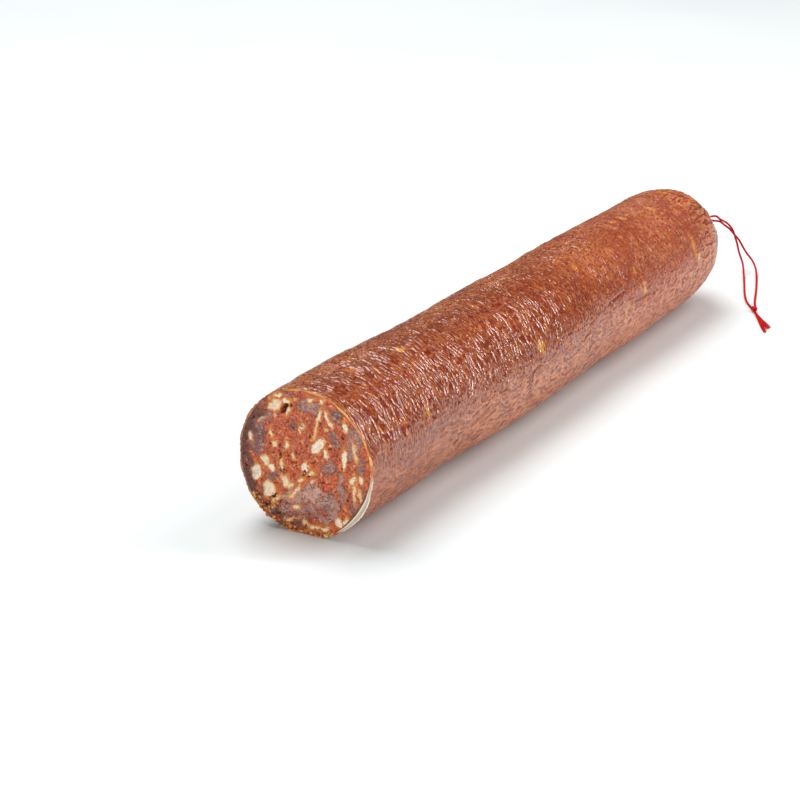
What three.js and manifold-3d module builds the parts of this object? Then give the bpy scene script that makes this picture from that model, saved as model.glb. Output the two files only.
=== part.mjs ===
// A cured sausage: a firm meat filling in a thin casing, cut straight off at one end and
// gathered to a short tuft at the other, where red twine is wrapped round it and hangs in a loop.
// Millimetres, +Z up. The axis lies along X, the cut faces -X, and the table is z = 0.
// Along the body a place is "along", the distance from the cut face, and an angle in degrees:
// 0 faces -Y, 90 is the top and -90 the table.
import * as THREE from "three";
import { mergeVertices } from "three/addons/utils/BufferGeometryUtils.js";
import Module from "manifold-3d";

const wasm = await Module();
wasm.setup();

// The body
const BODY_LENGTH = 378; // from the cut face to the top of the rounded end
const CUT_RADIUS = 31;
const TIED_RADIUS = 30.6;
const DOME_LENGTH = 46.4; // the stretch over which the rounded end closes
const DOME_FULLNESS = 2.6; // a higher power starts to round later
const DOME_BLUNTNESS = 2.36; // a higher power closes flatter
const FLAT_DEPTH = 0.8; // how far the sausage has settled onto the table
const AXIS_HEIGHT = CUT_RADIUS - FLAT_DEPTH;
const SIDES = 56;
const OUTER_STEPS = { body: 24, dome: 12 }; // rings along the outside
const INNER_STEPS = { body: 9, dome: 7 }; // and along the inside and the filling
const EDGE_STATIONS = [0, 2, 5]; // rings close to the cut face

// The casing
const CASING_WALL = 0.8;
const GATHERED_WALL = 2.4; // its folds lie on one another at the tied end
const CLEARANCE = 0.3; // between touching pieces
const PLEATS = 14;
const PLEAT_DEPTH = 0.9;
const LIP_ANGLE = -30; // the edge of the casing stands off the filling here
const LIP_SPREAD = 24;
const LIP_WIDTH = 1.7;
const LIP_REACH = 9; // how far along the body the thick lip runs out
const LIP_RISE = 0.8; // past the cut face

// The gathered tuft past the rounded end, and its twine
const TUFT_LENGTH = 12;
const NECK_RADIUS = 3.4;
const TUFT_RADIUS = 4.7;
const TUFT_RUFFLES = 8;
const TWINE = 1.1;
const TWINE_SIDES = 8;
const WRAP_TURNS = 2.6;
const WRAP_PITCH = 1.5;
const WRAP_STEPS_PER_TURN = 18;
const WRAP_START = 185; // x of the first turn
const STRAND_STEPS = 50;

// Swellings and hollows of the body, as the outline shows them
const LUMPS = [
  { along: 50, angle: 126, height: 0.5, reach: 30 },
  { along: 130, angle: 126, height: -1.1, reach: 34 },
  { along: 205, angle: 126, height: -0.7, reach: 26 },
  { along: 312, angle: 126, height: -1.2, reach: 30 },
  { along: 364, angle: 105, height: 1.3, reach: 16 },
  { along: 8, angle: -46, height: -0.4, reach: 24 },
  { along: 78, angle: -46, height: -1.2, reach: 22 },
  { along: 122, angle: -46, height: 0.9, reach: 24 },
  { along: 170, angle: -46, height: 1.7, reach: 34 },
  { along: 235, angle: -46, height: -0.7, reach: 22 },
  { along: 262, angle: -46, height: 0.9, reach: 24 },
  { along: 335, angle: -46, height: -0.7, reach: 24 },
];
const LUMP_SPREAD = 50; // degrees round the body
const WAVE_HEIGHT = 0.22;
const SETTLED_SPREAD = 32; // degrees on each side of the bottom where the table evens it out

// Pieces of fat that stand out of the cut face. y and z are from the axis, and tilt is degrees
// that the long side leans from upright towards -Y.
const FAT_RISE = 0.5;
const FAT_PIECES = [
  { y: -5.8, z: 8.5, long: 8.6, wide: 3.8, tilt: 38 },
  { y: -18.0, z: 5.0, long: 9.2, wide: 2.8, tilt: 4 },
  { y: 23.0, z: -8.2, long: 7.4, wide: 4.6, tilt: 6 },
  { y: 17.8, z: -15.0, long: 8.0, wide: 6.2, tilt: -10 },
  { y: 12.6, z: 22.6, long: 7.6, wide: 4.2, tilt: 62 },
  { y: 18.2, z: -2.2, long: 5.6, wide: 4.4, tilt: -20 },
  { y: 10.2, z: -8.0, long: 8.4, wide: 3.0, tilt: -8 },
  { y: -0.4, z: -1.6, long: 5.4, wide: 3.4, tilt: 40 },
  { y: -22.0, z: -3.0, long: 4.6, wide: 3.2, tilt: 35 },
];
const AIR_HOLE = { y: 9.6, z: 21.2, long: 4.6, wide: 1.5, depth: 6, tilt: 34 };
const FACE_RINGS = [0.14, 0.32, 0.5, 0.68, 0.84, 0.95];
const FACE_DISH = 0.5; // the softer middle of the cut sinks a little

// The hanging loop: two strands of one twine, as points that each of them passes through
const STRAND_A = [
  [187.2, 0.9, 35.9],
  [192.0, 0.8, 35.9],
  [198.0, 0.5, 35.3],
  [204.0, -0.1, 34.1],
  [210.0, -0.9, 32.6],
  [214.6, -2.1, 31.6],
  [217.0, -4.2, 31.6],
  [219.2, -5.6, 29.5],
  [223.3, -7.7, 27.0],
  [226.3, -9.6, 23.6],
  [228.2, -10.6, 20.0],
  [228.6, -11.5, 17.0],
  [229.2, -12.2, 14.4],
  [229.4, -13.4, 9.9],
  [225.0, -17.6, 5.2],
  [218.0, -21.1, 2.4],
  [210.7, -24.4, 0.8],
  [200.6, -28.6, 0.6],
  [190.6, -32.7, 0.6],
  [182.6, -36.3, 0.6],
  [176.2, -39.6, 0.6],
  [170.2, -43.6, 0.6],
  [166.2, -46.7, 0.6],
];
const STRAND_B = [
  [187.2, -0.9, 35.9],
  [192.0, -1.0, 35.8],
  [198.0, -1.2, 34.8],
  [204.0, -1.4, 33.0],
  [210.0, -1.7, 31.0],
  [214.6, -2.3, 29.6],
  [217.0, -3.7, 28.9],
  [220.8, -5.2, 27.7],
  [222.6, -7.1, 25.6],
  [225.6, -9.2, 22.8],
  [227.0, -11.3, 19.8],
  [229.3, -12.8, 16.9],
  [230.6, -13.9, 14.4],
  [232.0, -16.6, 9.3],
  [230.4, -20.8, 6.0],
  [227.0, -24.2, 3.4],
  [220.4, -27.6, 1.2],
  [210.0, -31.8, 0.6],
  [198.6, -36.1, 0.6],
  [188.2, -39.8, 0.6],
  [178.2, -43.4, 0.6],
  [171.0, -46.4, 0.6],
  [166.3, -48.6, 0.6],
];
const KNOT = { x: 163.6, y: -48.7, z: 1.5, long: 4.0, wide: 3.3, tall: 2.8, turn: 26 };
// The two frayed ends past the knot, as a flat fish tail on the table
const TAIL_THICKNESS = 0.9;
const TAIL_HEIGHT = 0.15;
const TAIL = [
  [161.0, -50.6],
  [156.2, -53.9],
  [150.0, -59.0],
  [144.9, -63.4],
  [142.1, -66.0],
  [140.4, -64.8],
  [139.2, -64.4],
  [136.5, -65.6],
  [133.3, -66.5],
  [138.1, -63.0],
  [144.8, -58.5],
  [153.3, -53.4],
  [160.2, -49.7],
];

const CASING_LOOK = { color: 0xa4604b, roughness: 0.36, metalness: 0 };
const MEAT_LOOK = { color: 0xb9755a, roughness: 0.55, metalness: 0 };
const TWINE_LOOK = { color: 0xc31418, roughness: 0.7, metalness: 0 };

const X_OF_CUT = -(BODY_LENGTH + TUFT_LENGTH) / 2;
const DOME_START = BODY_LENGTH - DOME_LENGTH;
const radians = THREE.MathUtils.degToRad;
const blend = THREE.MathUtils.smoothstep;

function wrapDegrees(angle) {
  return THREE.MathUtils.euclideanModulo(angle + 180, 360) - 180;
}

function bell(distance, reach) {
  return Math.exp(-((distance / reach) ** 2));
}

// How far the surface stands off the plain round body, before the rounded end draws it in.
function unevenness(along, angle) {
  let height = 0;
  for (const lump of LUMPS) {
    const aside = wrapDegrees(angle - lump.angle);
    height += lump.height * bell(along - lump.along, lump.reach) * bell(aside, LUMP_SPREAD);
  }
  height += WAVE_HEIGHT * Math.sin(along / 14 + 2 * radians(angle));
  height += WAVE_HEIGHT * Math.sin(along / 23 - 3 * radians(angle) + 1.3);
  return height * (1 - bell(wrapDegrees(angle + 90), SETTLED_SPREAD));
}

// The share of the full radius that is left at a place along a body that ends "inset" early.
function domeShare(along, inset) {
  const closed = (along - DOME_START) / (DOME_LENGTH - inset);
  if (closed <= 0) return 1;
  return Math.max(0, 1 - closed ** DOME_FULLNESS) ** (1 / DOME_BLUNTNESS);
}

function lipShare(along, angle) {
  const aside = wrapDegrees(angle - LIP_ANGLE);
  return bell(aside, LIP_SPREAD) * (1 - blend(along, 0, LIP_REACH));
}

// A point of the body, "inset" inside its outer surface, and never below its share of the table.
function bodyPoint(along, angle, inset) {
  const plain = THREE.MathUtils.lerp(CUT_RADIUS, TIED_RADIUS, along / BODY_LENGTH);
  const radius = (plain + unevenness(along, angle) - inset) * domeShare(along, inset);
  return roundPoint(X_OF_CUT + along, radius, angle, inset);
}

function roundPoint(x, radius, angle, floor) {
  const y = -radius * Math.cos(radians(angle));
  const z = AXIS_HEIGHT + radius * Math.sin(radians(angle));
  return new THREE.Vector3(x, y, Math.max(z, floor));
}

// One ring of points right round the axis; place(angle) gives each point.
function ringOf(place) {
  return Array.from({ length: SIDES }, (_, side) => place((side * 360) / SIDES));
}

// A closed surface through rings that follow one another, with a point at each end.
// Seen along +X, an outer surface has its rings in the order of X, and an inner one against it.
function closedSurface(startPoint, rings, endPoint) {
  const points = [startPoint, ...rings.flat(), endPoint];
  const last = points.length - 1;
  const at = (ring, side) => 1 + ring * SIDES + (side % SIDES);
  const triangles = [];
  for (let side = 0; side < SIDES; side++) {
    triangles.push(0, at(0, side), at(0, side + 1));
    for (let ring = 0; ring + 1 < rings.length; ring++) {
      const a = at(ring, side);
      const b = at(ring, side + 1);
      const c = at(ring + 1, side);
      const d = at(ring + 1, side + 1);
      triangles.push(a, c, b, b, c, d);
    }
    triangles.push(last, at(rings.length - 1, side + 1), at(rings.length - 1, side));
  }
  const geometry = new THREE.BufferGeometry().setFromPoints(points);
  geometry.setIndex(triangles);
  return geometry;
}

// Places along a body that ends "inset" early: even steps, then closer ones round the end.
function stations(steps, inset) {
  const edge = EDGE_STATIONS.at(-1);
  const places = [...EDGE_STATIONS];
  for (let i = 1; i <= steps.body; i++) {
    places.push(THREE.MathUtils.lerp(edge, DOME_START, i / steps.body));
  }
  for (let i = 1; i <= steps.dome; i++) {
    const turn = (Math.PI / 2) * (i / (steps.dome + 0.4));
    places.push(DOME_START + (DOME_LENGTH - inset) * Math.sin(turn));
  }
  return places;
}

// The folds that the gathered casing draws into the rounded end.
function pleat(along, angle) {
  const closed = (along - DOME_START) / DOME_LENGTH;
  const depth = PLEAT_DEPTH * blend(closed, 0.45, 0.97);
  return depth * (0.5 + 0.5 * Math.sin(PLEATS * radians(angle) + Math.sin(3 * radians(angle))));
}

function gatheredInset(along) {
  const closed = (along - DOME_START) / DOME_LENGTH;
  return THREE.MathUtils.lerp(CASING_WALL, GATHERED_WALL, blend(closed, 0.4, 0.95));
}

function tuftRings() {
  const start = X_OF_CUT + BODY_LENGTH;
  const profile = [
    { out: 1.2, radius: NECK_RADIUS + 0.5, ruffle: 0.02 },
    { out: 2.2, radius: NECK_RADIUS, ruffle: 0 },
    { out: 6.4, radius: NECK_RADIUS, ruffle: 0 },
    { out: 7.6, radius: NECK_RADIUS + 0.6, ruffle: 0.05 },
    { out: 10.4, radius: TUFT_RADIUS * 0.92, ruffle: 0.08 },
    { out: TUFT_LENGTH, radius: TUFT_RADIUS * 0.92, ruffle: 0.1 },
    { out: TUFT_LENGTH - 0.6, radius: TUFT_RADIUS * 0.55, ruffle: 0.14 },
  ];
  return profile.map(({ out, radius, ruffle }) =>
    ringOf((angle) => {
      const wave = 1 + ruffle * Math.sin(TUFT_RUFFLES * radians(angle));
      return roundPoint(start + out, radius * wave, angle, 0);
    }),
  );
}

function innerCasingPoint(along, angle) {
  const inset = gatheredInset(along) + LIP_WIDTH * lipShare(along, angle);
  return bodyPoint(Math.min(along, BODY_LENGTH - GATHERED_WALL), angle, inset);
}

function casingGeometry() {
  const inside = stations(INNER_STEPS, GATHERED_WALL)
    .reverse()
    .map((along) => ringOf((angle) => innerCasingPoint(along, angle)));
  const outside = stations(OUTER_STEPS, 0).map((along) =>
    ringOf((angle) => {
      const point = bodyPoint(along, angle, 0);
      const toAxis = new THREE.Vector3(0, -point.y, AXIS_HEIGHT - point.z);
      toAxis.setLength(Math.min(pleat(along, angle), toAxis.length() * 0.2));
      return point.add(toAxis);
    }),
  );
  for (const rim of [inside.at(-1), outside[0]]) {
    rim.forEach((point, side) => {
      point.x -= LIP_RISE * lipShare(0, (side * 360) / SIDES);
    });
  }
  const innerEnd = new THREE.Vector3(X_OF_CUT + BODY_LENGTH - GATHERED_WALL, 0, AXIS_HEIGHT);
  const tuftEnd = new THREE.Vector3(-X_OF_CUT - 1, 0, AXIS_HEIGHT);
  return closedSurface(innerEnd, [...inside, ...outside, ...tuftRings()], tuftEnd);
}

function meatPoint(along, angle) {
  const inset = gatheredInset(along) + CLEARANCE + LIP_WIDTH * lipShare(along, angle);
  return bodyPoint(Math.min(along, BODY_LENGTH - GATHERED_WALL - CLEARANCE), angle, inset);
}

function meatGeometry() {
  const side = stations(INNER_STEPS, GATHERED_WALL + CLEARANCE).map((along) =>
    ringOf((angle) => meatPoint(along, angle)),
  );
  const centre = new THREE.Vector3(X_OF_CUT + FACE_DISH, 0, AXIS_HEIGHT);
  const face = FACE_RINGS.map((share) =>
    side[0].map((edge) => {
      const point = new THREE.Vector3(X_OF_CUT, 0, AXIS_HEIGHT).lerp(edge, share);
      point.x += FACE_DISH * (1 - share ** 4);
      return point;
    }),
  );
  const end = X_OF_CUT + BODY_LENGTH - GATHERED_WALL - CLEARANCE;
  return closedSurface(centre, [...face, ...side], new THREE.Vector3(end, 0, AXIS_HEIGHT));
}

function toSolid(geometry) {
  const bare = new THREE.BufferGeometry();
  bare.setAttribute("position", geometry.getAttribute("position"));
  if (geometry.index) bare.setIndex(geometry.index);
  const merged = mergeVertices(bare, 1e-3);
  return new wasm.Manifold(
    new wasm.Mesh({
      numProp: 3,
      vertProperties: new Float32Array(merged.getAttribute("position").array),
      triVerts: new Uint32Array(merged.index.array),
    }),
  );
}

function toGeometry(solid) {
  const mesh = solid.getMesh();
  const geometry = new THREE.BufferGeometry();
  geometry.setAttribute("position", new THREE.BufferAttribute(mesh.vertProperties, 3));
  geometry.setIndex(new THREE.BufferAttribute(mesh.triVerts, 1));
  return geometry;
}

// An egg-shaped solid set into the cut face, "depth" deep on each side of it.
function eggInFace({ y, z, long, wide, tilt }, depth) {
  const egg = new THREE.SphereGeometry(1, 10, 6);
  egg.scale(depth, wide / 2, long / 2);
  egg.rotateX(radians(tilt));
  egg.translate(X_OF_CUT + FACE_DISH, y, AXIS_HEIGHT + z);
  return toSolid(egg);
}

function makeMeat() {
  let solid = toSolid(meatGeometry());
  for (const piece of FAT_PIECES) {
    solid = solid.add(eggInFace(piece, FACE_DISH + FAT_RISE));
  }
  solid = solid.subtract(eggInFace(AIR_HOLE, AIR_HOLE.depth));
  return toGeometry(solid);
}

// A round twine along a curve, closed at both ends.
function twineGeometry(curve, steps) {
  const outline = Array.from({ length: TWINE_SIDES }, (_, side) => {
    const turn = (2 * Math.PI * side) / TWINE_SIDES;
    return new THREE.Vector2(Math.cos(turn), Math.sin(turn)).multiplyScalar(TWINE / 2);
  });
  return new THREE.ExtrudeGeometry(new THREE.Shape(outline), { steps, extrudePath: curve });
}

function strandGeometry(points) {
  const corners = points.map((point) => new THREE.Vector3(...point));
  return twineGeometry(new THREE.CatmullRomCurve3(corners, false, "centripetal"), STRAND_STEPS);
}

// The twine wound round the neck of the tuft.
class Wrap extends THREE.Curve {
  getPoint(t, target = new THREE.Vector3()) {
    const turns = t * WRAP_TURNS;
    const radius = NECK_RADIUS + CLEARANCE + TWINE / 2;
    const angle = 2 * Math.PI * turns + radians(125);
    return target.set(
      WRAP_START + turns * WRAP_PITCH,
      radius * Math.cos(angle),
      AXIS_HEIGHT + radius * Math.sin(angle),
    );
  }
}

function makeTie() {
  return twineGeometry(new Wrap(), Math.round(WRAP_TURNS * WRAP_STEPS_PER_TURN));
}

function makeKnot() {
  const knot = new THREE.SphereGeometry(1, 14, 10);
  knot.scale(KNOT.long / 2, KNOT.wide / 2, KNOT.tall / 2);
  knot.rotateZ(radians(KNOT.turn));
  return knot.translate(KNOT.x, KNOT.y, KNOT.z);
}

function makeTail() {
  const outline = new THREE.Shape(TAIL.map(([x, y]) => new THREE.Vector2(x, y)));
  const tail = new THREE.ExtrudeGeometry(outline, { depth: TAIL_THICKNESS, bevelEnabled: false });
  return tail.translate(0, 0, TAIL_HEIGHT);
}

function piece(name, geometry, look) {
  geometry.computeVertexNormals();
  const mesh = new THREE.Mesh(geometry, new THREE.MeshStandardMaterial(look));
  mesh.name = name;
  return mesh;
}

const hangingLoop = new THREE.Group();
hangingLoop.add(
  piece("tie", makeTie(), TWINE_LOOK),
  piece("string_a", strandGeometry(STRAND_A), TWINE_LOOK),
  piece("string_b", strandGeometry(STRAND_B), TWINE_LOOK),
  piece("string_knot", makeKnot(), TWINE_LOOK),
  piece("string_tail", makeTail(), TWINE_LOOK),
);

const sausage = new THREE.Group();
sausage.add(
  piece("meat", makeMeat(), MEAT_LOOK),
  piece("casing", casingGeometry(), CASING_LOOK),
  hangingLoop,
);

export default sausage;
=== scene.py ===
"""The looks of a cured sausage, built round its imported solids.

Shapes are worked out in millimetres in the part's own frame and scaled by MM when a mesh is made.
A place on the body is "along", the distance from the cut face, and an angle in degrees: 0 faces
-Y, 90 is the top and -90 the table.
"""

import functools
import itertools
import math

import bpy
import numpy as np
from mathutils import Matrix, Vector


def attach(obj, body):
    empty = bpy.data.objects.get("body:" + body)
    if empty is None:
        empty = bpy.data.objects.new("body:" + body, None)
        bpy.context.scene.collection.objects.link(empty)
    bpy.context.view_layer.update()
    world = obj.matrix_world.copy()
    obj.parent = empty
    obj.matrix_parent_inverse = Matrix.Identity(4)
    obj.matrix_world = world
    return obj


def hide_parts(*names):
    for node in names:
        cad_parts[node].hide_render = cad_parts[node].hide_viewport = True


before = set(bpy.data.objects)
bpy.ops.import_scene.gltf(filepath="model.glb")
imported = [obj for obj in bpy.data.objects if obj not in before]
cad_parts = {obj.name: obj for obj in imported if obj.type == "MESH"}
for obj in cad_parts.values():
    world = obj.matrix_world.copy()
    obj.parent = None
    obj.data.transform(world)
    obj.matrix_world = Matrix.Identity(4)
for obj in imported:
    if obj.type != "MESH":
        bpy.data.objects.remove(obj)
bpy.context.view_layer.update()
scene = bpy.context.scene

MM = 0.001
BODY = "root"

# The body, as the solids have it
BODY_LENGTH = 378.0
CUT_RADIUS = 31.0
TIED_RADIUS = 30.6
DOME_LENGTH = 46.4
DOME_FULLNESS = 2.6
DOME_BLUNTNESS = 2.36
DOME_START = BODY_LENGTH - DOME_LENGTH
AXIS_HEIGHT = 30.2
CASING_WALL = 0.8
GATHERED_WALL = 2.4
TUFT_LENGTH = 12.0
NECK_RADIUS = 3.4
TUFT_RADIUS = 4.7
TUFT_RUFFLES = 8
PLEATS = 14
PLEAT_DEPTH = 0.9
X_OF_CUT = -(BODY_LENGTH + TUFT_LENGTH) / 2
FACE_DISH = 0.5
LIP_ANGLE = -30.0
LIP_SPREAD = 24.0
LIP_WIDTH = 1.7
LIP_REACH = 9.0
LIP_RISE = 0.8
LIP_FLARE = 0.8

# along, angle, height and reach of each swelling or hollow
LUMPS = [
    (50, 126, 0.5, 30), (130, 126, -1.1, 34), (205, 126, -0.7, 26),
    (312, 126, -1.2, 30), (364, 105, 1.3, 16), (8, -46, -0.4, 24),
    (78, -46, -1.2, 22), (122, -46, 0.9, 24), (170, -46, 1.7, 34),
    (235, -46, -0.7, 22), (262, -46, 0.9, 24), (335, -46, -0.7, 24),
]
LUMP_SPREAD = 50.0
WAVE_HEIGHT = 0.22
SETTLED_SPREAD = 32.0

# The twine
TWINE = 1.1
STRAND_A = [
    (187.2, 0.9, 35.9), (192, 0.8, 35.9), (198, 0.5, 35.3),
    (204, -0.1, 34.1), (210, -0.9, 32.6), (214.6, -2.1, 31.6),
    (217, -4.2, 31.6), (219.2, -5.6, 29.5), (223.3, -7.7, 27),
    (226.3, -9.6, 23.6), (228.2, -10.6, 20), (228.6, -11.5, 17),
    (229.2, -12.2, 14.4), (229.4, -13.4, 9.9), (225, -17.6, 5.2),
    (218, -21.1, 2.4), (210.7, -24.4, 0.8), (200.6, -28.6, 0.6),
    (190.6, -32.7, 0.6), (182.6, -36.3, 0.6), (176.2, -39.6, 0.6),
    (170.2, -43.6, 0.6), (166.2, -46.7, 0.6),
]
STRAND_B = [
    (187.2, -0.9, 35.9), (192, -1, 35.8), (198, -1.2, 34.8),
    (204, -1.4, 33), (210, -1.7, 31), (214.6, -2.3, 29.6),
    (217, -3.7, 28.9), (220.8, -5.2, 27.7), (222.6, -7.1, 25.6),
    (225.6, -9.2, 22.8), (227, -11.3, 19.8), (229.3, -12.8, 16.9),
    (230.6, -13.9, 14.4), (232, -16.6, 9.3), (230.4, -20.8, 6),
    (227, -24.2, 3.4), (220.4, -27.6, 1.2), (210, -31.8, 0.6),
    (198.6, -36.1, 0.6), (188.2, -39.8, 0.6), (178.2, -43.4, 0.6),
    (171, -46.4, 0.6), (166.3, -48.6, 0.6),
]
KNOT_PLACE = (163.6, -48.7, 1.5)
KNOT_TURN = 26.0
TAIL_ROOT = (161.0, -50.1, 0.75)
TAIL_TIPS = [(142.1, -66.0), (133.3, -66.5)]
TAIL_FORK = (138.6, -65.0, 0.45)
TAIL_FIBRES = 34
FIBRE_RADIUS = 0.17
WRAP_START = 185.0
WRAP_TURNS = 2.6
WRAP_PITCH = 1.5
WRAP_ANGLE = 125.0
TWINE_PLIES = 3
TWINE_LAY = 3.4
TWINE_SIDES = 12
PLY_DEPTH = 0.12

# The camera of the photograph
CAMERA_PLACE = (-935.1, -463.3, 376.7)
CAMERA_LOOK = (0.8166, 0.4635, -0.344)
CAMERA_LENS = 106.8

# The lights: name, place and aim in metres, sides in metres, watts, and the second side's way
LIGHTS = [
    ("key", (0.4, 0.8, 2.05), (0, 0, 0), (1.72, 1.72), 54, (0, 0, 1)),
    ("gloss", (0.49, -0.82, 0.77), (-0.1, 0, 0.03), (0.15, 1.3), 9.0, (0, 0.69, 0.72)),
    ("end", (-1.5, -0.4, 0.36), (-0.19, 0, 0.03), (0.5, 0.3), 10.5, (0, 0, 1)),
]
WORLD_STRENGTH = 0.07
FLOOR_HALF = 6000.0

# Folds of the casing. The rings run round the body, the lines along it, and the net both ways.
# A cell is the spacing along and round the body, and a crest is the height.
RING_CELL = (2.3, 7.0)
RING_CREST = 0.28
RING_REACH = 1.0
RING_ROUNDING = 0.2
RING_FLATTEST = 0.2
RING_GROOVE = 0.24
LINE_CELL = (7.0, 2.0)
LINE_CREST = 0.34
NET_CELL = (1.6, 1.7)
NET_CREST = 0.36
WIDE_CREST = 0.34
CREASE_DEPTH = 0.55
# Widths of the lines' and the net's ridges and grooves, in the noise's own numbers
RIDGE_WIDTH = 0.32
GROOVE_OFFSET = 0.36
GROOVE_WIDTH = 0.19
GROOVE_DEPTH = 0.6
# Where things start and where they are full: places along the body, and angles round it
TIED_END = (318, 352)
FAR_FROM_CUT = (150, 300)
RINGS_FADE = (110, 250)
LOW_LINES = (20, 100)
LIT_SIDE = (-22, 22)
UPPER_SIDE = (66, 96)
TOP_SIDE = (56, 84)
LOW_SIDE = (-178, -130)
LOW_SIDE_END = (-6, 26)
DRY_TOP = 0.3
DRY_LOW = 0.6
DRY_END = 0.75

# Mesh steps
PROFILE_POINTS = 3000
RING_STEP = 0.4
RIM_STEPS = 14
FACE_SIDES = 620
FACE_STEP = 0.3
SHOWN_ANGLES = (-62.0, 134.0)
SHOWN_STEP = 0.82
HIDDEN_STEP = 1.7
INNER_START = [0, 0.5, 1.5, 4, 8]
INNER_END = [331, 338, 345, 352, 358, 363, 367, 370, 372.5]
SKIN_MAP = 100.0  # millimetres to one unit of the casing's texture map

# Fat pieces in the cut face: y, z, long, wide, tilt, and how yellow. y and z are from the axis,
# and tilt is degrees that the long side leans from upright towards -Y.
FAT_PIECES = [
    (-5.9, 8.4, 8.8, 4, 38, 0), (-18, 5, 9.6, 2.7, 4, 0.1), (-9.6, 6, 4.4, 1.8, -16, 0.3),
    (23.2, -8, 7.6, 5, 4, 0.2), (17.2, -14.2, 8.2, 6, -14, 0.4), (13.6, 22.4, 7.4, 4.6, 52, 0.5),
    (8.6, 25, 4, 2, 80, 0.4), (7.6, 21, 4, 1.6, 34, 0.7), (18.6, -1.8, 5.4, 4.4, -20, 0.5),
    (16, -4.4, 3.6, 3.2, 10, 0.2), (11.2, -2.2, 5.4, 2.6, -10, 0.6), (9.6, -9.2, 6.4, 3.8, -24, 0.6),
    (7.2, -11, 3.6, 2.4, 60, 0.5), (0.2, -1.6, 5, 3.4, 30, 0.1), (-2.4, -3.8, 4.4, 2, 60, 0.6),
    (2.4, -7.4, 4.2, 2.8, 60, 0.5), (-3.2, -7, 3, 1, 50, 0.2), (4.4, -12.2, 6, 1.3, 34, 0.5),
    # The near-white piece at y 4.6, z -19.4 is a painted highlight on the lean round it, not a piece of
    # fat
    (6.6, -15, 3.4, 1.6, 60, 1), (4.6, -19.4, 4.4, 2.2, 76, 0.1), (-21.8, -2.8, 5, 2.8, 32, 0.3),
    (-25.6, -2, 4, 3, -10, 0.2), (-22.4, -8, 7.6, 1.3, -4, 0.5), (-23, 9, 6.4, 1, -8, 0.6),
    (-18.9, 18.8, 4.2, 2.6, 0, 0.1), (-11.8, 18.6, 3.6, 2.8, -30, 0.4), (-10.2, 21.8, 4.6, 1.8, -14, 0.5),
    (-6.6, 21.4, 6.2, 1.4, 20, 0.4), (-5, 15.4, 6.8, 0.9, 18, 1), (-3.2, 27.4, 3.4, 1.8, 60, 0.3),
    (-7.6, 27.6, 2.8, 1.7, 20, 0.2), (1.6, 14.4, 4.4, 3.2, 30, 0.3), (15.9, 10, 3.2, 1.4, -10, 0.5),
    (14.2, 6, 3.2, 2.6, 0, 0.8), (8.6, 6.2, 4, 2.4, 14, 0.5), (6, 2.2, 2.6, 2, 0, 0.6),
    (25.6, 7.8, 4.6, 2.2, -12, 0), (20.4, 15.6, 4.4, 1.2, 66, 0.3), (12.6, 27, 4.4, 1.8, 75, 0.3),
    (-15.4, -22, 5, 3.4, -20, 0.2), (-18.6, -21.4, 4.8, 1.8, 18, 0.3), (-4.2, -26.4, 6.4, 2.2, 84, 0.3),
    (-9, -26, 4, 1.8, 74, 0.5), (14.2, -17.6, 5, 2.4, 44, 1), (15.8, -22.6, 4.4, 2.8, 34, 0.9),
    (9.4, -26, 8.4, 1.1, 72, 0.7), (0.4, -25.6, 2.6, 2, 0, 0.9), (-26.2, -11.4, 9, 1.2, -20, 1),
]
# Lean pieces: y, z, long, wide, tilt, and how pale
LEAN_PIECES = [
    (22.2, 7, 16, 8.6, -4, 0.12), (5, -16, 17, 9, 66, 0.8), (-2.8, -12.6, 10, 8, 40, 1),
    (-9.6, -17.6, 15, 10.5, 36, 0.6), (2.4, -20.8, 22, 6.4, 84, 0.5), (-3.2, 24.6, 14, 6, 86, 0.5),
    (-22.4, 13, 17, 7.4, 10, 0.4), (-25.6, 4.6, 9, 4, 2, 0.25), (-15, 23.4, 8.4, 5.4, 30, 0.12),
    (-10.4, 0, 6.6, 6, 30, 0.35), (-16.6, -7, 15, 3, -3, 0.55), (-22.8, -13.6, 12, 4.6, -10, 0.3),
    (4.8, -24, 18, 4.4, 82, 0.05), (8.6, 26.4, 9, 2.8, 66, 0.3), (5.4, 14.6, 4.2, 3.2, 20, 0.2),
    (15.6, -8.6, 9, 3.2, 50, 0.15), (-13.6, 12.4, 9, 4.4, -20, 0.2), (18.6, 16.4, 7, 4.6, 40, 0.25),
    (-26.4, -6.6, 7, 2.6, -6, 0.2),
]
# Holes and cracks between the pieces: y, z, long, wide and tilt
CRACKS = [
    (11.9, 1.6, 6.4, 0.8, 4), (12.2, 5.4, 2, 1, 30), (0.8, -4.4, 3, 1.1, 30),
    (-1.2, -5.4, 2.4, 0.8, 70), (-4, 1.2, 2, 0.8, 30), (14.6, -16.4, 4, 1, 50),
    (12.2, -18.8, 2.4, 0.9, 30), (18, -20.6, 4, 1.1, 60), (13, -23.6, 2.6, 0.8, 70),
    (6.4, 23.4, 1.6, 1.2, 0), (5.4, 14, 1.4, 1, 0), (-17.2, 14, 1.4, 0.9, 0),
    (-16.6, 0.8, 1.8, 0.8, 20), (0.2, -26.4, 2, 0.8, 40), (10.4, -5.6, 3.4, 0.6, 10),
    (-2, 11.8, 1.4, 0.8, 50), (24, -18.4, 2.6, 0.9, 40),
]
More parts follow.
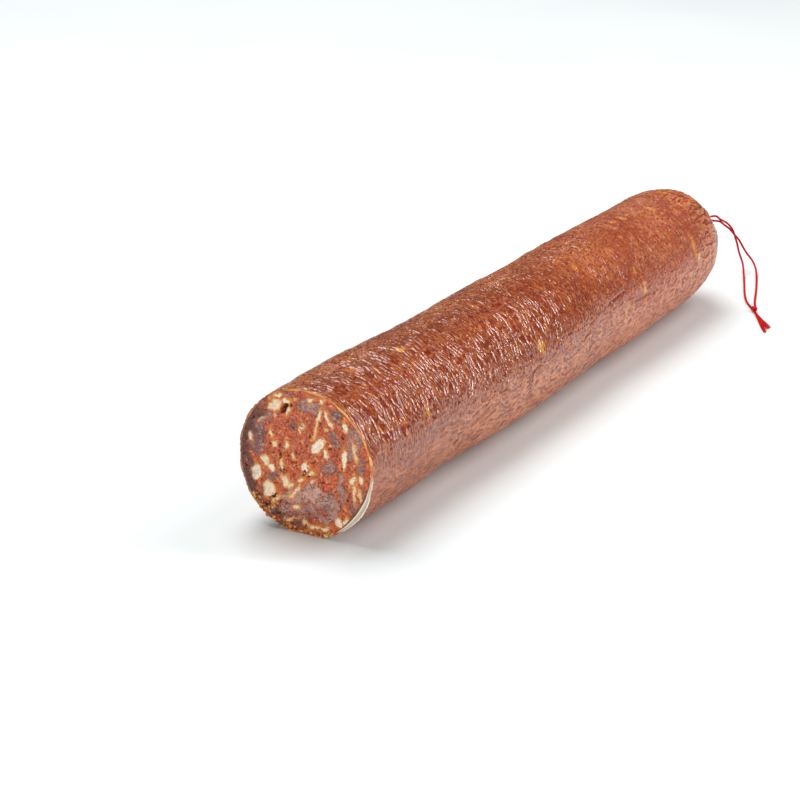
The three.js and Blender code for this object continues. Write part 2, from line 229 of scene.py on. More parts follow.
# Crumbs along the lower edge, and clusters: y, z, spread, count and size
FRINGE_ANGLES = (-146.0, -64.0)
FRINGE_CRUMBS = 150
CRUMB_CLUSTERS = [
    (14.4, -18, 1.5, 12, 0.42), (16, -22, 1.5, 14, 0.5), (-1.6, -4.6, 1.3, 12, 0.36),
    (1.8, 14.2, 1.4, 9, 0.36), (10.8, -3.6, 1.3, 12, 0.36), (9, -26, 1.8, 12, 0.42),
    (-5, -26.4, 2.4, 14, 0.42),
]
AIR_HOLE = (9.6, 21.4, 6.0, 2.1, 34)
AIR_HOLE_DEPTH = 4.0
PIT_DEPTH = 0.7
FAT_RISE = 0.45
SMALL_FAT = 2.1

# Fat that shows through the casing: along, angle, length along, length round, and strength
CASING_SPOTS = [
    (62.4, 76, 4, 4.4, 1), (30.3, 83, 6, 6, 0.7), (149.7, 17.5, 5, 6, 1),
    (173.3, 8, 3.5, 3.5, 0.7), (48.5, 22, 1.4, 8, 0.9), (12.7, 30, 2.5, 3, 0.8),
    (30.3, 24, 3, 3, 0.7), (177, 63, 3, 4, 0.6), (93.3, -9, 5, 5, 0.6),
    (59.4, -5, 3, 4, 0.6), (130.9, 82, 2, 7, 0.7), (213, 61, 4, 5, 0.8),
    (217.3, 52, 2.4, 4, 0.7), (210.6, 78, 3, 5, 0.7), (280.9, 85, 5, 4, 0.8),
    (290.6, 84, 4, 5, 0.9), (316, 76, 5, 7, 0.8), (240.3, 57, 4, 4, 0.6),
    (256, 30, 3, 5, 0.8), (260.3, 12, 4, 9, 0.9), (238.5, -3, 2.6, 7.5, 1),
    (219, -5, 3, 3, 0.6), (303.3, 42, 2.4, 8, 0.7), (323.3, 23, 5, 14, 0.8),
    (327, 9, 4, 5, 1), (242, 26, 3, 3, 0.6), (197.9, -22, 2.4, 7, 0.8),
    (345, 88, 5, 6, 0.8), (284.5, -15, 2.2, 8, 0.4),
]
# Lengthwise creases: along, angle and length
CREASES = [(352, 49, 34), (343, 41.5, 28), (230, 18, 16), (258, 6, 22)]


# Numbers

def bell(distance, reach):
    return np.exp(-((distance / reach) ** 2))


def smooth(low, high, x):
    t = np.clip((x - low) / (high - low), 0, 1)
    return t * t * (3 - 2 * t)


def wrap_degrees(angle):
    return (angle + 180) % 360 - 180


def noise(x, y, seed, around=None):
    """A smooth random field of about -1 to 1 on unit cells, repeating after `around` cells of y."""
    x_cell = np.floor(x).astype(np.int64)
    y_cell = np.floor(y).astype(np.int64)
    x_in = x - x_cell
    y_in = y - y_cell

    def corner(dx, dy):
        row = y_cell + dy
        if around:
            row = row % around
        code = ((x_cell + dx) * 374761393 + row * 668265263 + seed * 974634777) & 0xFFFFFFFF
        code = ((code ^ (code >> 13)) * 1274126177) & 0xFFFFFFFF
        turn = (code ^ (code >> 16)) / 2**32 * 2 * math.pi
        return np.cos(turn) * (x_in - dx) + np.sin(turn) * (y_in - dy)

    u = x_in**3 * (x_in * (6 * x_in - 15) + 10)
    v = y_in**3 * (y_in * (6 * y_in - 15) + 10)
    low = corner(0, 0) * (1 - u) + corner(1, 0) * u
    high = corner(0, 1) * (1 - u) + corner(1, 1) * u
    return 1.6 * (low * (1 - v) + high * v)


def cells_round(cell):
    """How many cells of that length, at least two, go once round the body."""
    return max(2, round(2 * math.pi * CUT_RADIUS / cell))


def round_noise(along, arc, cell_along, cell_arc, seed):
    """Noise on the body's skin that meets itself after one turn; arc runs from 0 to 1."""
    around = cells_round(cell_arc)
    return noise(along / cell_along, arc * around, seed, around)


def catmull(points, step):
    """Points every `step` along a smooth curve through the given ones."""
    p = np.array(points, float)
    p = np.vstack([2 * p[0] - p[1], p, 2 * p[-1] - p[-2]])
    out = []
    for a, b, c, d in zip(p[:-3], p[1:-2], p[2:-1], p[3:]):
        gaps = [max(np.linalg.norm(q - r), 1e-6) ** 0.5 for q, r in ((b, a), (c, b), (d, c))]
        knots = np.cumsum([0] + gaps)
        count = max(1, int(math.ceil(np.linalg.norm(c - b) / step)))
        for t in np.linspace(knots[1], knots[2], count, endpoint=False):
            out.append(curve_point((a, b, c, d), knots, t))
    out.append(p[-2])
    return np.array(out)


def curve_point(corners, knots, t):
    """The point at t of the curve that passes each of four corners at its knot."""
    level = list(corners)
    for width in (1, 2, 3):
        blended = []
        for i in range(len(level) - 1):
            low, high = knots[i], knots[i + width]
            blended.append(((high - t) * level[i] + (t - low) * level[i + 1]) / (high - low))
        level = blended
    return level[0]


# The body's shape

def unevenness(along, angle):
    """How far the body swells past its plain radius."""
    height = 0
    for at, turn, tall, reach in LUMPS:
        aside = wrap_degrees(angle - turn)
        height = height + tall * bell(along - at, reach) * bell(aside, LUMP_SPREAD)
    height = height + WAVE_HEIGHT * np.sin(along / 14 + 2 * np.radians(angle))
    height = height + WAVE_HEIGHT * np.sin(along / 23 - 3 * np.radians(angle) + 1.3)
    return height * (1 - bell(wrap_degrees(angle + 90), SETTLED_SPREAD))


def dome_share(along, inset):
    """The share of the plain radius that is left where the tied end closes."""
    closed = np.clip((along - DOME_START) / (DOME_LENGTH - inset), 0, 1)
    return (1 - closed**DOME_FULLNESS) ** (1 / DOME_BLUNTNESS)


def lip_share(along, angle):
    """How much the casing's edge lifts off the filling."""
    return bell(wrap_degrees(angle - LIP_ANGLE), LIP_SPREAD) * (1 - smooth(0, LIP_REACH, along))


def gathered_inset(along):
    """How thick the casing's wall is, more where it is gathered."""
    closed = (along - DOME_START) / DOME_LENGTH
    return CASING_WALL + (GATHERED_WALL - CASING_WALL) * smooth(0.4, 0.95, closed)


def plain_radius(along):
    return CUT_RADIUS + (TIED_RADIUS - CUT_RADIUS) * along / BODY_LENGTH


def on_axis(x, radius, angle, floor):
    """Points at a radius and angle round the axis, kept above the floor height."""
    x, radius, angle, floor = np.broadcast_arrays(x, radius, angle, floor)
    y = -radius * np.cos(np.radians(angle))
    z = AXIS_HEIGHT + radius * np.sin(np.radians(angle))
    return np.stack([x, y, np.maximum(z, floor)], -1)


def meridian(radius_at_end):
    """Places along the body that lie RING_STEP apart on its surface, and how far each has come."""
    straight = np.linspace(0, DOME_START, PROFILE_POINTS)[:-1]
    dome = DOME_START + DOME_LENGTH * np.sin(np.linspace(0, math.pi / 2, PROFILE_POINTS))
    along = np.concatenate([straight, dome])
    radius = plain_radius(along) * dome_share(along, 0)
    come = np.concatenate([[0], np.cumsum(np.hypot(np.diff(along), np.diff(radius)))])
    first = len(straight)
    stop = np.interp(-radius_at_end, -radius[first:], come[first:])
    marks = np.linspace(0, stop, int(stop / RING_STEP) + 1)
    return np.interp(marks, come, along), marks


def inner_places(last):
    """Places along the hidden surfaces inside the casing, close together at both ends."""
    middle = np.arange(12, DOME_START, 9.0)
    return np.concatenate([INNER_START, middle, INNER_END, [last]])


def side_angles():
    """Angles of the mesh lines round the body, from the table round, finer where it shows most."""
    low, high = SHOWN_ANGLES
    spans = [(-90, low, HIDDEN_STEP), (low, high, SHOWN_STEP), (high, 270, HIDDEN_STEP)]
    return np.concatenate([np.linspace(a, b, int((b - a) / s), endpoint=False) for a, b, s in spans])


def crests(x, y, seed, around):
    """Raised lines of height 1 on flat ground, with short grooves beside some of them. The ridges also
    mark where glints are painted, and the grooves where shade is painted.
    """
    field = noise(x, y, seed, around)
    ridge = bell(field, RIDGE_WIDTH)
    groove_and_shade = bell(field + GROOVE_OFFSET, GROOVE_WIDTH)
    return ridge - GROOVE_DEPTH * groove_and_shade, ridge, groove_and_shade


def roofs(field, come, around):
    """Raised lines with even flanks where the field is 0, and the grooves along one foot of each. The
    lines also mark painted glints, and the grooves painted shade.
    """
    steep = np.hypot(np.gradient(field, come[:, 0], axis=0), np.gradient(field, around[0], axis=1))
    away = field / np.maximum(steep, RING_FLATTEST)
    ridge = np.clip(1 - (np.hypot(away, RING_ROUNDING) - RING_ROUNDING) / RING_REACH, 0, 1)
    return ridge, bell(away + RING_REACH, RING_GROOVE)


def fold_shares(along, turn, patch):
    """How strongly the rings, the lines and the net of folds show, and where the low side is."""
    tied_end = smooth(*TIED_END, along)
    glossy_band = smooth(*LIT_SIDE, turn) * (1 - smooth(*UPPER_SIDE, turn))
    near = 1 - smooth(*RINGS_FADE, along)
    rings = glossy_band * (0.16 + 0.84 * near) * (1 - tied_end) + 0.22 * patch
    rings = np.clip(rings + 0.15, 0.05, 1)
    low_side = smooth(*LOW_SIDE, turn) * (1 - smooth(*LOW_SIDE_END, turn))
    lines = low_side * (0.4 + 0.4 * smooth(*LOW_LINES, along)) + tied_end
    lines = np.clip(0.12 + lines + 0.2 * patch, 0.05, 1)
    net = np.clip(1.15 - rings - lines, 0.15, 0.95) * (1 - 0.1 * smooth(*FAR_FROM_CUT, along))
    return rings, lines, net, low_side


def wrinkles(come, along, angle):
    """The shrivelled casing's folds: height, the masks for painted shade in the grooves and painted glints
    on the ridges, and how far two of the kinds show.
    """
    arc = (angle + 90) / 360
    turn = wrap_degrees(angle)
    drift = 1.5 * round_noise(come, arc, 12, 14, 3) + 0.7 * round_noise(come, arc, 4, 5, 4)
    patch = round_noise(come, arc, 30, 24, 5)
    slant = 0.9 * round_noise(come, arc, 24, 30, 13)
    wide = round_noise(come, arc, 7, 9, 16)
    ring_share, line_share, net_share, low_side = fold_shares(along, turn, patch)

    many = cells_round(RING_CELL[1])
    rings = noise((come + drift) / RING_CELL[0], arc * many + 0.05 * drift, 11, many)
    rings, ring_groove_shade = roofs(rings, come, np.radians(angle) * CUT_RADIUS)
    many = cells_round(LINE_CELL[1])
    at_round = arc * many + slant + 0.4 * drift
    at_along = (come + 2 * slant) / LINE_CELL[0]
    lines, line_ridge_glint, line_groove_shade = crests(at_along, at_round, 14, many)
    many = cells_round(NET_CELL[1])
    at_round = arc * many + 0.3 * drift
    net, net_ridge_glint, net_groove_shade = crests((come + drift) / NET_CELL[0], at_round, 15, many)

    height = RING_CREST * ring_share * (rings - 0.4) + LINE_CREST * line_share * (lines - 0.3)
    height = height + NET_CREST * net_share * (net - 0.3) + WIDE_CREST * wide
    line_shade_strength = 0.95 + 0.1 * smooth(*TIED_END, along)
    net_shade_strength = 0.8 + 0.6 * smooth(*TOP_SIDE, turn) + 0.1 * low_side
    # Painted shade: the grooves and creases darken the casing's colour through this mask
    groove_and_shade = np.maximum(1.1 * ring_share * ring_groove_shade, line_shade_strength * line_share * line_groove_shade)
    groove_and_shade = np.maximum(groove_and_shade, net_shade_strength * net_share * net_groove_shade)
    # Painted highlight: the ridges and crests lighten the casing's colour through this mask
    ridge = np.maximum(0.7 * ring_share * rings, 1.2 * line_share * line_ridge_glint)
    ridge = np.clip(np.maximum(ridge, 1.1 * net_share * net_ridge_glint), 0, 1) ** 2
    for at, middle, length in CREASES:
        aside = np.radians(wrap_degrees(angle - middle - 1.5 * np.sin(along / 9))) * CUT_RADIUS
        crease = bell(aside, 0.75) * bell(along - at, length * 0.5) ** 0.7
        height = height - CREASE_DEPTH * crease
        groove_and_shade = np.maximum(groove_and_shade, 0.8 * crease)
    groove_and_shade = np.clip(groove_and_shade, 0, 1)
    return dict(height=height, groove_and_shade=groove_and_shade, ridge=ridge, rings=ring_share, lines=line_share)


# Meshes

def new_mesh(name, points, faces):
    mesh = bpy.data.meshes.new(name)
    mesh.from_pydata((np.asarray(points) * MM).tolist(), [], faces)
    mesh.shade_smooth()
    return mesh


def closed_faces(count, sides, first=0):
    """Faces over a first point, then rings of points, then a last point."""
    at = first + 1 + np.arange(count * sides).reshape(count, sides)
    after = np.roll(at, -1, axis=1)
    start = np.full(sides, first)
    end = np.full(sides, first + 1 + count * sides)
    quads = np.stack([at[:-1], at[1:], after[1:], after[:-1]], -1).reshape(-1, 4)
    start_cap = np.stack([start, at[0], after[0]], -1)
    end_cap = np.stack([end, after[-1], at[-1]], -1)
    return quads.tolist() + start_cap.tolist() + end_cap.tolist()


def closed_surface(name, start, rings, end, marks=None):
    """A closed mesh through rings of points, shape (rings, sides, 3), with a point at each end."""
    points = np.vstack([[start], rings.reshape(-1, 3), [end]])
    mesh = new_mesh(name, points, closed_faces(*rings.shape[:2]))
    if marks is not None:
        add_skin_map(mesh, marks, rings.shape[1])
    return mesh


def add_skin_map(mesh, marks, sides):
    """A closed surface's texture map: each ring's place in marks one way, the turn the other."""
    turn = np.arange(sides + 1) / sides * 2 * math.pi * CUT_RADIUS
    low, high = turn[:-1], turn[1:]
    lows = np.tile(low, len(marks) - 1)
    highs = np.tile(high, len(marks) - 1)
    near = np.repeat(marks[:-1], sides)
    far = np.repeat(marks[1:], sides)
    u = np.stack([near, far, far, near], -1).ravel()
    v = np.stack([lows, lows, highs, highs], -1).ravel()
    cap_u = np.repeat([marks[0], marks[-1]], 3 * sides)
    cap_v = [np.stack(turns, -1).ravel() for turns in ((low, low, high), (low, high, low))]
    uv = np.stack([np.concatenate([u, cap_u]), np.concatenate([v, *cap_v])], -1) / SKIN_MAP
    mesh.uv_layers.new(name="skin").data.foreach_set("uv", uv.ravel())


def paint(mesh, name, values):
    attribute = mesh.attributes.new(name, "FLOAT", "POINT")
    attribute.data.foreach_set("value", np.asarray(values, np.float32).ravel())


def new_object(name, data):
    obj = bpy.data.objects.new(name, data)
    scene.collection.objects.link(obj)
    return obj


def add_piece(name, mesh, material, slot, *nodes):
    """A visible piece on the body, which stands for the nodes named."""
    obj = new_object(name, mesh)
    mesh.materials.append(material)
    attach(obj, BODY)
    if nodes:
        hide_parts(*nodes)
    return obj


def tube_points(centres, radius, plies, lay, sides, grow=None):
    """Rings round a centreline: a twine of `plies` twisted yarns, one turn every `lay`."""
    centres = np.asarray(centres, float)
    along = np.concatenate([[0], np.cumsum(np.linalg.norm(np.diff(centres, axis=0), axis=1))])
    way = np.gradient(centres, axis=0)
    way /= np.linalg.norm(way, axis=1)[:, None]
    side = np.cross(way[0], (0, 0, 1) if abs(way[0][2]) < 0.9 else (1, 0, 0))
    rings = []
    for i, (centre, forward) in enumerate(zip(centres, way)):
        side = side - forward * (side @ forward)
        side /= np.linalg.norm(side)
        up = np.cross(forward, side)
        turn = 2 * math.pi * np.arange(sides) / sides
        twist = 2 * math.pi * along[i] / lay
        size = radius * (1.0 + PLY_DEPTH * np.cos(plies * (turn - twist)))
        if grow is not None:
            size = size * grow(along[i] / along[-1])
        spokes = np.cos(turn)[:, None] * side + np.sin(turn)[:, None] * up
        rings.append(centre + size[:, None] * spokes)
    return np.array(rings), centres


def twine_tube(centres):
    return tube_points(centres, TWINE / 2, TWINE_PLIES, TWINE_LAY, TWINE_SIDES)


def join_closed(name, parts):
    """One mesh of several tubes, each (rings, centres). Their rings turn the other way."""
    points = []
    faces = []
    for rings, centres in parts:
        for face in closed_faces(*rings.shape[:2], len(points)):
            faces.append(face[:1] + face[:0:-1])
        points += [centres[0].tolist(), *rings.reshape(-1, 3).tolist(), centres[-1].tolist()]
    return new_mesh(name, points, faces)


# Materials

def srgb(red, green, blue):
    """A colour given as the eye reads it, 0 to 255, in the renderer's own numbers."""
    seen = (red, green, blue)
    linear = [((c / 255 + 0.055) / 1.055) ** 2.4 if c > 10 else c / 3295 for c in seen]
    return (*linear, 1.0)


class Shader:
    """A material and its nodes: add() makes one node and sets or links its inputs."""

    def __init__(self, name):
        self.material = bpy.data.materials.new(name)
        self.material.use_nodes = True
        self.tree = self.material.node_tree
        self.tree.nodes.clear()
        self.surface = self.add("BsdfPrincipled")
        self.add("OutputMaterial", {0: self.surface.outputs[0]})

    def set(self, **inputs):
        for name, value in inputs.items():
            self.give(self.surface.inputs[name.replace("_", " ")], value)

    def give(self, socket, value):
        if isinstance(value, bpy.types.NodeSocket):
            self.tree.links.new(value, socket)
        else:
            socket.default_value = value

    def add(self, kind, inputs=(), **settings):
        node = self.tree.nodes.new("ShaderNode" + kind)
        for name, value in settings.items():
            setattr(node, name, value)
        for key, value in dict(inputs).items():
            self.give(node.inputs[key], value)
        return node

    def skin(self, scale_along, scale_round, shift=0.0):
        """The texture map in cells: a cell is scale_along by scale_round millimetres."""
        uv = self.add("UVMap", uv_map="skin").outputs[0]
        size = (SKIN_MAP / scale_along, SKIN_MAP / scale_round, 1)
        inputs = {"Vector": uv, "Scale": size, "Location": (shift, shift, 0)}
        return self.add("Mapping", inputs).outputs[0]

    def place(self, cell, cell_across=None):
        """The object's own coordinates in cells of that many millimetres, perhaps longer across."""
        here = self.add("TexCoord").outputs["Object"]
        scale = (1000 / cell, 1000 / (cell_across or cell), 1000 / cell)
        return self.add("Mapping", {"Vector": here, "Scale": scale}).outputs[0]

    def noise(self, vector, detail=3.0, rough=0.5, distort=0.0):
        inputs = {"Vector": vector, "Scale": 1.0, "Detail": detail, "Roughness": rough}
        inputs["Distortion"] = distort
        return self.add("TexNoise", inputs, noise_type="FBM", normalize=True).outputs[0]

    def attribute(self, name):
        return self.add("Attribute", attribute_name=name).outputs["Fac"]

    def math(self, how, a, b=0.0, c=0.0, clamp=False):
        return self.add("Math", {0: a, 1: b, 2: c}, operation=how, use_clamp=clamp).outputs[0]

    def times(self, a, b):
        return self.math("MULTIPLY", a, b)

    def ramp(self, value, low, high, to_high=1.0, to_low=0.0):
        inputs = {0: value, 1: low, 2: high, 3: to_low, 4: to_high}
        return self.add("MapRange", inputs, interpolation_type="SMOOTHSTEP").outputs[0]

    def mix(self, share, a, b):
        """Colour a with a share of b; each is a socket, or red, green and blue as srgb takes them."""
        a, b = (srgb(*tone) if isinstance(tone, tuple) else tone for tone in (a, b))
        return self.add("Mix", {0: share, 6: a, 7: b}, data_type="RGBA").outputs[2]

    def layers(self, colour, *coats):
        """The colour under coats of others, each a share and what it lays over."""
        for share, tone in coats:
            colour = self.mix(share, colour, tone)
        return colour

    def bump(self, height, distance, strength=1.0):
        """A normal for fine relief, `distance` millimetres high."""
        inputs = {"Height": height, "Distance": distance * MM, "Strength": strength}
        return self.add("Bump", inputs).outputs[0]


def casing_colour(s):
    """The casing's reddish brown under its blotches, streaks, folds, fat and pale cut edge, with painted
    shade in the grooves and the lip's gap, painted glints on the ridges, a painted sheen on the low side,
    and painted light and shade round the cut edge.
    """
    fine = s.noise(s.skin(3.2, 5), 4)
    streak = s.noise(s.skin(3.4, 10, 3.0), 3, 0.6)
    speck = s.noise(s.skin(1.1, 1.6, 8.0), 3, 0.6)
    line = s.noise(s.skin(5.5, 1.7, 21.0), 1, 0.5, 0.6)
    lean = s.ramp(s.noise(s.skin(15, 12, 7.0), 2), 0.54, 0.66)
    pale = s.ramp(s.noise(s.skin(2.6, 4.4, 11.0), 2), 0.57, 0.68)
    patch = s.ramp(s.noise(s.skin(4.5, 9, 17.0), 3, 0.6, 0.8), 0.54, 0.64)
    bloom, far, fat = (s.attribute(name) for name in ("bloom", "far", "fat"))
    blotch = s.ramp(s.noise(s.skin(26, 17), 3), 0.35, 0.65)
    rim_tone = s.mix(s.ramp(streak, 0.4, 0.6), (206, 96, 30), (250, 178, 78))
    # Painted light and shade: the cut edge is bright orange where it turns towards the light and dark
    # brown round the rest
    rim_tone = s.mix(s.attribute("rim_bright"), (132, 62, 34), rim_tone)
    rim = s.ramp(s.math("ADD", s.attribute("rim"), s.times(fine, 0.5)), 0.75, 1.15)
    lip_tone = s.mix(s.attribute("lip_edge"), (190, 170, 158), (244, 232, 202))
    return s.layers(
        s.mix(blotch, (138, 50, 32), (168, 74, 40)),
        (s.times(lean, 0.6), (124, 52, 46)),
        (s.ramp(streak, 0.54, 0.68, 0.7), (196, 98, 46)),
        (s.ramp(streak, 0.46, 0.34, 0.6), (110, 38, 24)),
        # Painted sheen: the low side is lighter and warmer, standing in for the white table's reflection;
        # the light and dark lines on it are a pattern
        (s.times(bloom, 0.55), (186, 78, 32)),
        (s.times(bloom, s.ramp(line, 0.51, 0.58, 0.8)), (232, 138, 84)),
        (s.times(bloom, s.ramp(line, 0.48, 0.42, 0.85)), (88, 20, 8)),
        (s.times(s.attribute("brown"), 0.9), (114, 42, 4)),
        (s.times(far, 0.4), (192, 70, 40)),
        (s.times(s.attribute("ring_folds"), 0.45), (116, 34, 28)),
        (s.times(pale, s.math("MULTIPLY_ADD", far, 0.3, 0.6)), (212, 142, 84)),
        (s.times(patch, s.math("MULTIPLY_ADD", far, 0.35, 0.25)), (220, 132, 72)),
        (s.ramp(speck, 0.53, 0.68, 0.7), (204, 128, 84)),
        (s.ramp(speck, 0.48, 0.32, 0.8), (80, 28, 16)),
        # Painted highlight: glints on the crests of the folds
        (s.times(s.attribute("ridge"), 0.75), (224, 142, 92)),
        (s.ramp(fat, 0.0, 0.5, 0.7), (190, 80, 32)),
        (s.ramp(fat, 0.45, 1.0), (222, 158, 76)),
        # Painted shade in the grooves and creases between the folds
        (s.math("MULTIPLY", s.attribute("hollow"), 0.9, clamp=True), (122, 32, 10)),
        (rim, rim_tone),
        # Painted shade in the gap under the lip's raised edges and on the casing's inside
        (s.attribute("gap"), (84, 34, 18)),
        (s.attribute("lip"), lip_tone),
    )


def casing_material():
    s = Shader("casing_skin")
    dry = s.attribute("dry")
    ring_bump = s.noise(s.skin(1.15, 5.0, 2.0), 2, 0.5, 0.6)
    line_bump = s.noise(s.skin(5.0, 1.1, 5.0), 2, 0.5, 0.6)
    net = s.noise(s.skin(1.0, 1.1, 9.0), 3, 0.55)
    height = s.times(ring_bump, s.times(s.attribute("ring_folds"), 0.3))
    height = s.math("ADD", height, s.times(line_bump, s.attribute("length_folds")))
    height = s.math("ADD", height, s.times(net, s.math("ADD", 0.15, dry)))
    wax = s.ramp(s.noise(s.skin(9, 11), 2), 0.3, 0.7, 0.18, 0.1)
    s.set(Base_Color=casing_colour(s), Roughness=s.math("ADD", wax, s.times(dry, 0.32)))
    s.set(Normal=s.bump(height, 0.22), IOR=1.56, Coat_Weight=0.15, Coat_Roughness=0.06)
    return s.material


def meat_material():
    s = Shader("meat_cut")
    grain = s.noise(s.place(1.1), 4, 0.62)
    wide = s.noise(s.place(4.5), 3)
    fibre = s.noise(s.place(1.5, 2.2), 3, 0.6, 1.6)
    mottle = s.noise(s.place(2.4), 3, 0.6)
    fleck = s.noise(s.place(1.7), 3, 0.6, 0.5)
    spots = s.ramp(mottle, 0.54, 0.66, 0.6)
    fat = s.attribute("fat")
    paste = s.layers(
        s.mix(s.ramp(grain, 0.34, 0.66), (142, 46, 22), (210, 96, 50)),
        (s.ramp(wide, 0.42, 0.62, 0.55), (194, 76, 32)),
        (spots, (212, 138, 104)),
        (s.ramp(fleck, 0.58, 0.68, 0.6), (222, 140, 74)),
        (s.ramp(fleck, 0.44, 0.34, 0.75), (108, 36, 18)),
    )
    lean = s.layers(
        s.mix(s.attribute("pale"), (112, 60, 56), (200, 154, 136)),
        (s.ramp(fibre, 0.53, 0.64, 0.7), (208, 164, 146)),
        (s.ramp(fibre, 0.49, 0.38, 0.75), (90, 40, 34)),
        (spots, (176, 88, 54)),
        (s.ramp(fleck, 0.45, 0.35, 0.5), (98, 44, 36)),
    )
    seam = s.mix(s.ramp(grain, 0.42, 0.62), (110, 34, 18), (206, 98, 44))
    oil = s.times(s.attribute("oil"), s.ramp(wide, 0.38, 0.58, 0.95, 0.25))
    yolk = s.mix(s.ramp(mottle, 0.4, 0.6), (222, 160, 84), (214, 176, 132))
    cream = s.mix(s.attribute("warm"), (246, 232, 212), (234, 190, 124))
    cream = s.mix(s.ramp(fibre, 0.46, 0.6, 0.6), cream, (208, 178, 152))
    s.set(Base_Color=s.layers(
        paste,
        (s.attribute("lean"), lean),
        (s.times(s.attribute("seam"), 0.85), seam),
        (oil, (206, 112, 44)),
        (s.ramp(fat, 0.02, 0.45), (214, 124, 50)),
        (s.ramp(fat, 0.3, 0.66), yolk),
        (s.ramp(fat, 0.55, 0.9), cream),
        # Painted shade along the cut face's edge on the +Y side
        (s.attribute("edge_shade"), (78, 36, 26)),
        # Painted shade in the pits, cracks and the air hole
        (s.attribute("shaded_pit"), (64, 18, 8)),
    ))
    s.set(Normal=s.bump(s.noise(s.place(0.7), 3, 0.6), 0.4))
    s.set(Roughness=s.ramp(grain, 0.3, 0.7, 0.44, 0.2), IOR=1.45)
    s.set(Coat_Weight=0.2, Coat_Roughness=0.12, Subsurface_Weight=0.1, Subsurface_Scale=MM)
    s.set(Subsurface_Radius=(1.0, 0.4, 0.25))
    return s.material


def twine_material():
    s = Shader("red_twine")
    fluff = s.noise(s.place(0.5), 3, 0.6)
    s.set(Base_Color=s.mix(s.ramp(fluff, 0.3, 0.7), (162, 1, 5), (214, 8, 12)))
    s.set(Normal=s.bump(fluff, 0.08, 0.7), Roughness=0.6, Specular_IOR_Level=0.2)
    return s.material


def crumb_material():
    s = Shader("crumbs_of_fat")
    grain = s.noise(s.place(0.9), 3)
    tone = s.attribute("tone")
    s.set(Base_Color=s.layers(
        s.mix(s.ramp(tone, 0.1, 0.5), (150, 66, 30), (206, 118, 42)),
        (s.ramp(tone, 0.5, 0.95), (230, 186, 110)),
        (s.ramp(grain, 0.55, 0.3, 0.6), (128, 52, 22)),
    ))
    s.set(Roughness=s.ramp(grain, 0.3, 0.7, 0.5, 0.25))
    s.set(Normal=s.bump(s.noise(s.place(0.5), 3), 0.14, 0.9))
    return s.material


def floor_material():
    s = Shader("white_table")
    tone = s.ramp(s.noise(s.place(240), 2), 0.3, 0.7)
    s.set(Base_Color=s.mix(tone, (238, 244, 245), (242, 248, 248)), Roughness=0.6)
    return s.material


# The pieces

def make_camera():
    data = bpy.data.cameras.new("camera")
    data.lens = CAMERA_LENS
    data.sensor_width = 36.0
    data.clip_start = 0.01
    data.clip_end = 50.0
    camera = new_object("camera", data)
    camera.location = Vector(CAMERA_PLACE) * MM
    camera.rotation_mode = "QUATERNION"
    camera.rotation_quaternion = Vector(CAMERA_LOOK).to_track_quat("-Z", "Y")
    scene.camera = camera


def make_twine():
    material = twine_material()
    knot = make_knot(material)
    tail = make_tail(material)
    make_wraps(material)
    for name, route in (("string_a", STRAND_A), ("string_b", STRAND_B)):
        centres = catmull(route, 0.45)
        mesh = join_closed(name + "_twine", [twine_tube(centres)])
        strand = add_piece(name + "_twine", mesh, material, "twine", name)


def make_wraps(material):
    """The twine wound round the neck of the tuft, with the short hitch that its strands leave."""
    radius = NECK_RADIUS + 0.3 + TWINE / 2
    turn = np.linspace(0, WRAP_TURNS, int(WRAP_TURNS * 60))
    angle = 2 * math.pi * turn + math.radians(WRAP_ANGLE)
    centres = np.stack([
        WRAP_START + turn * WRAP_PITCH,
        radius * np.cos(angle),
        AXIS_HEIGHT + radius * np.sin(angle),
    ], -1)
    hitch = [(187.4, 1.6, 35.2), (186.2, 1, 36), (186.2, -1, 36), (187.4, -1.6, 35.2)]
    hitch = catmull(hitch, 0.3)
    mesh = join_closed("tie_wraps", [twine_tube(centres), twine_tube(hitch)])
    add_piece("tie_wraps", mesh, material, "twine", "tie")


def make_knot(material):
    """An overhand knot pulled tight, as a twine along a flattened three-lobed path."""
    t = np.linspace(0, 2 * math.pi, 140, endpoint=False)
    swing = 1.0 + 0.45 * np.cos(3 * t)
    path = [swing * np.cos(2 * t), swing * np.sin(2 * t) * 0.85, 0.62 * np.sin(3 * t)]
    path = np.stack(path, -1)
    path = np.vstack([path, path[:2]]) * np.array([1.4, 1.0, 0.95])
    turn = math.radians(KNOT_TURN)
    cos, sin = math.cos(turn), math.sin(turn)
    spin = np.array([[cos, -sin, 0], [sin, cos, 0], [0, 0, 1]])
    centres = path @ spin.T + np.array(KNOT_PLACE)
    tube = tube_points(centres, TWINE * 0.48, TWINE_PLIES, 3.0, TWINE_SIDES)
    return add_piece("knot_twine", join_closed("knot_twine", [tube]), material, "twine", "string_knot")


def thinning(share):
    """How thick a fibre is at a share of its length."""
    return 1 - 0.5 * share**4


